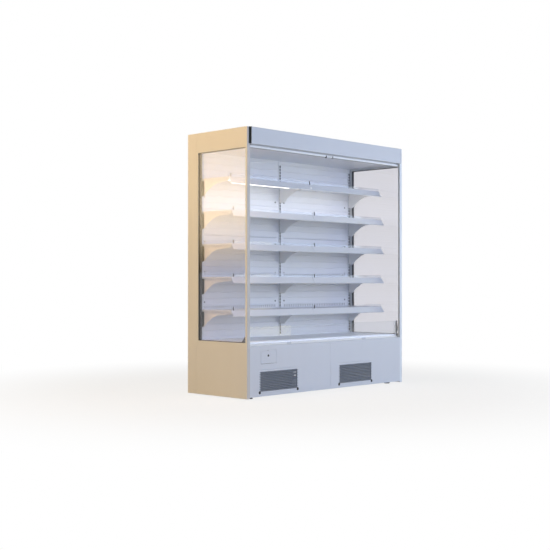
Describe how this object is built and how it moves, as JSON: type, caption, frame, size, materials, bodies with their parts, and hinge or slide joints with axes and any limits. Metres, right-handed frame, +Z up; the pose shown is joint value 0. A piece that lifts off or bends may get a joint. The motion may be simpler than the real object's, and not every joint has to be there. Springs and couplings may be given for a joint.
{
  "type": "open multideck display fridge",
  "caption": "Upright open-fronted display fridge with glazed side walls, rows of shelves on slotted uprights, a pull-down night blind, a deep base with louvred grilles and fans.",
  "frame": {"origin": "on the floor, in the middle of the width and of the depth over the fascia", "axes": "+X along the front from left to right, +Y from the front to the rear, +Z up"},
  "size_m": [1.85, 0.67, 2],
  "materials": {
    "insulated_white_panel": "satin",
    "white_lacquered_sheet": "satin",
    "clear_glass": "gloss",
    "clear_plastic": "gloss",
    "black_plastic": "satin",
    "black_gasket": "matte",
    "black_steel": "satin",
    "grey_plastic": "satin",
    "satin_aluminium": "satin",
    "blind_cloth": "matte",
    "galvanised_steel": "satin",
    "plated_steel": "polished",
    "lamp_plastic": "satin",
    "copper_tube": "satin"
  },
  "bodies": {
    "cabinet": {"air_outlet": "grey_plastic", "air_return_grilles": "white_lacquered_sheet", "back_panel_screws": "galvanised_steel", "base_frame": "galvanised_steel", "base_tub": "insulated_white_panel", "blind_brackets": "galvanised_steel", "blind_fabric": "blind_cloth", "ceiling_panel": "white_lacquered_sheet", "compressor": "black_steel", "condenser_coil": "satin_aluminium", "condenser_fan_shroud": "galvanised_steel", "condenser_grilles": "black_plastic", "controller": "black_plastic", "copper_pipework": "copper_tube", "deck_trays": "white_lacquered_sheet", "evaporator_coil": "satin_aluminium", "evaporator_fan_plate": "white_lacquered_sheet", "fascia_end_caps": "black_plastic", "fascia_panel": "white_lacquered_sheet", "grille_screws": "black_steel", "hook_plates": "black_steel", "left_back_panel": "white_lacquered_sheet", "left_front_panel": "white_lacquered_sheet", "left_side_panel": "insulated_white_panel", "levelling_feet": "plated_steel", "price_rails_row_1": "white_lacquered_sheet", "price_rails_row_2": "white_lacquered_sheet", "price_rails_row_3": "white_lacquered_sheet", "price_rails_row_4": "white_lacquered_sheet", "price_rails_row_5": "white_lacquered_sheet", "product_stops": "clear_plastic", "rear_skirt": "white_lacquered_sheet", "rear_wall": "insulated_white_panel", "right_back_panel": "white_lacquered_sheet", "right_front_panel": "white_lacquered_sheet", "right_side_panel": "insulated_white_panel", "riser_brackets": "grey_plastic", "riser_channel": "white_lacquered_sheet", "riser_glass": "clear_glass", "roof_panel": "insulated_white_panel", "shelf_arms": "white_lacquered_sheet", "shelf_lights": "lamp_plastic", "shelf_trays_row_1": "white_lacquered_sheet", "shelf_trays_row_2": "white_lacquered_sheet", "shelf_trays_row_3": "white_lacquered_sheet", "shelf_trays_row_4": "white_lacquered_sheet", "shelf_trays_row_5": "white_lacquered_sheet", "shelf_uprights": "white_lacquered_sheet", "window_gaskets": "black_gasket", "window_panes": "clear_glass"},
    "blind_roller": {"blind_roller": "blind_cloth"},
    "blind_bar": {"blind_pull_bar": "satin_aluminium", "blind_grip": "black_plastic"},
    "hatch": {"controller_hatch": "white_lacquered_sheet"},
    "lock": {"hatch_lock": "plated_steel"},
    "switch": {"light_switch": "black_plastic"},
    "condenser_fan": {"condenser_fan": "black_plastic"},
    "left_evaporator_fan": {"left_evaporator_fan": "black_plastic"},
    "right_evaporator_fan": {"right_evaporator_fan": "black_plastic"}
  },
  "joints": [
    {"name": "blind_slide", "type": "slide", "parent": "cabinet", "child": "blind_bar", "axis": [0, 0, -1], "range_m": [0, 1.3], "deforming": ["blind_fabric"]},
    {"name": "blind_roller_turn", "type": "hinge", "parent": "cabinet", "child": "blind_roller", "pos_m": [0, -0.2757, 1.91], "axis": [1, 0, 0], "range_deg": [0, 3200]},
    {"name": "hatch_hinge", "type": "hinge", "parent": "cabinet", "child": "hatch", "pos_m": [-0.699, -0.317, 0.262], "axis": [1, 0, 0], "range_deg": [0, 95]},
    {"name": "hatch_lock_turn", "type": "hinge", "parent": "hatch", "child": "lock", "pos_m": [-0.704, -0.32, 0.318], "axis": [0, 1, 0], "range_deg": [0, 90]},
    {"name": "light_switch_rock", "type": "hinge", "parent": "cabinet", "child": "switch", "pos_m": [-0.665, -0.3005, 0.28825], "axis": [1, 0, 0], "range_deg": [-8, 8]},
    {"name": "condenser_fan_spin", "type": "hinge", "parent": "cabinet", "child": "condenser_fan", "pos_m": [-0.59, -0.2, 0.107], "axis": [0, 1, 0], "continuous": true},
    {"name": "left_evaporator_fan_spin", "type": "hinge", "parent": "cabinet", "child": "left_evaporator_fan", "pos_m": [-0.42, -0.2, 0.3325], "axis": [0, 1, 0], "continuous": true},
    {"name": "right_evaporator_fan_spin", "type": "hinge", "parent": "cabinet", "child": "right_evaporator_fan", "pos_m": [0.42, -0.2, 0.3325], "axis": [0, 1, 0], "continuous": true}
  ],
  "couplings": [
    {"joint": "blind_roller_turn", "follows": "blind_slide", "rad_per_m": 42.553}
  ]
}
